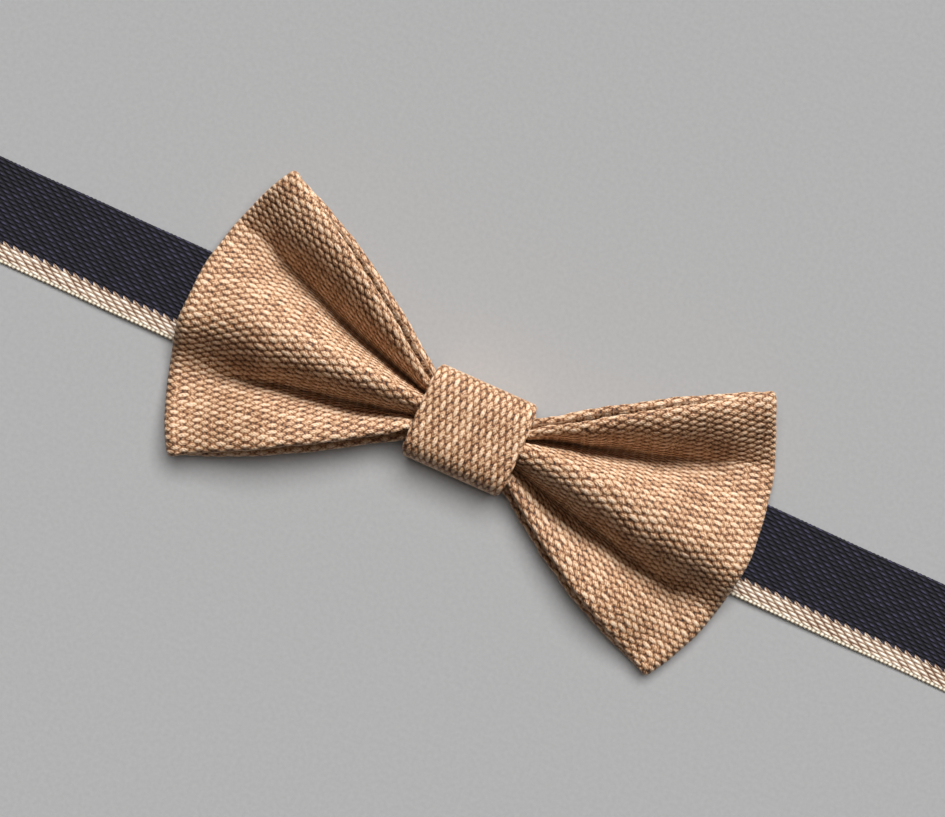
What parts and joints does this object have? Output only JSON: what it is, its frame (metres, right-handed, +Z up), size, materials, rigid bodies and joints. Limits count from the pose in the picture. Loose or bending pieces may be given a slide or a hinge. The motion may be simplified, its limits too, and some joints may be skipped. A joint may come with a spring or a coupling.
{
  "type": "bow tie",
  "caption": "Ready-tied bow: a gathered two-layer cloth bow held by a cloth knot on a flat neck tape with a hook, a slide and an eye.",
  "frame": {"origin": "on the table under the middle of the tie's outline, at the middle of the bow's width", "axes": "+X along the neck tape towards the slide and eye, +Y towards the bow's upper edge, +Z up from the table out of the bow's face"},
  "size_m": [0.39, 0.0613, 0.0159],
  "materials": {
    "bow_cloth": "coarse basket-like weave of tan cotton, matt with a slight sheen",
    "canvas": "plain stiffening canvas",
    "tan_thread": "twisted cotton sewing thread",
    "neck_tape": "navy woven tape with an ecru stripe along its lower edge",
    "navy_thread": "dense bar-tack thread",
    "nickel": "bright nickel plate on pressed brass"
  },
  "bodies": {
    "root": {"bow_cloth": "bow_cloth", "wing_stiffener_left": "canvas", "wing_stiffener_right": "canvas", "waist_thread_1": "tan_thread", "waist_thread_2": "tan_thread", "waist_thread_3": "tan_thread", "knot_wrap": "bow_cloth", "knot_lining": "canvas", "neck_band": "neck_tape", "hook_bar_tack_1": "navy_thread", "hook_bar_tack_2": "navy_thread"},
    "hook": {"band_hook": "nickel"},
    "slide": {"slider": "nickel"},
    "tape_end": {"adjuster_tape": "neck_tape"},
    "eye": {"band_eye": "nickel"}
  },
  "joints": [
    {"name": "hook_swing", "type": "hinge", "parent": "root", "child": "hook", "pos_m": [-0.182, 0, 0.0022], "axis": [0, 1, 0], "range_deg": [-100, 100]},
    {"name": "slider_travel", "type": "slide", "parent": "root", "child": "slide", "axis": [1, 0, 0], "range_m": [-0.04, 0.034], "deforming": ["adjuster_tape"]},
    {"name": "tape_end_travel", "type": "slide", "parent": "slide", "child": "tape_end", "axis": [1, 0, 0], "range_m": [-0.017, 0.02]},
    {"name": "eye_swing", "type": "hinge", "parent": "tape_end", "child": "eye", "pos_m": [0.182, 0, 0.0022], "axis": [0, 1, 0], "range_deg": [-100, 100]}
  ],
  "couplings": [
    {"joint": "tape_end_travel", "follows": "slider_travel", "ratio": -0.5}
  ]
}
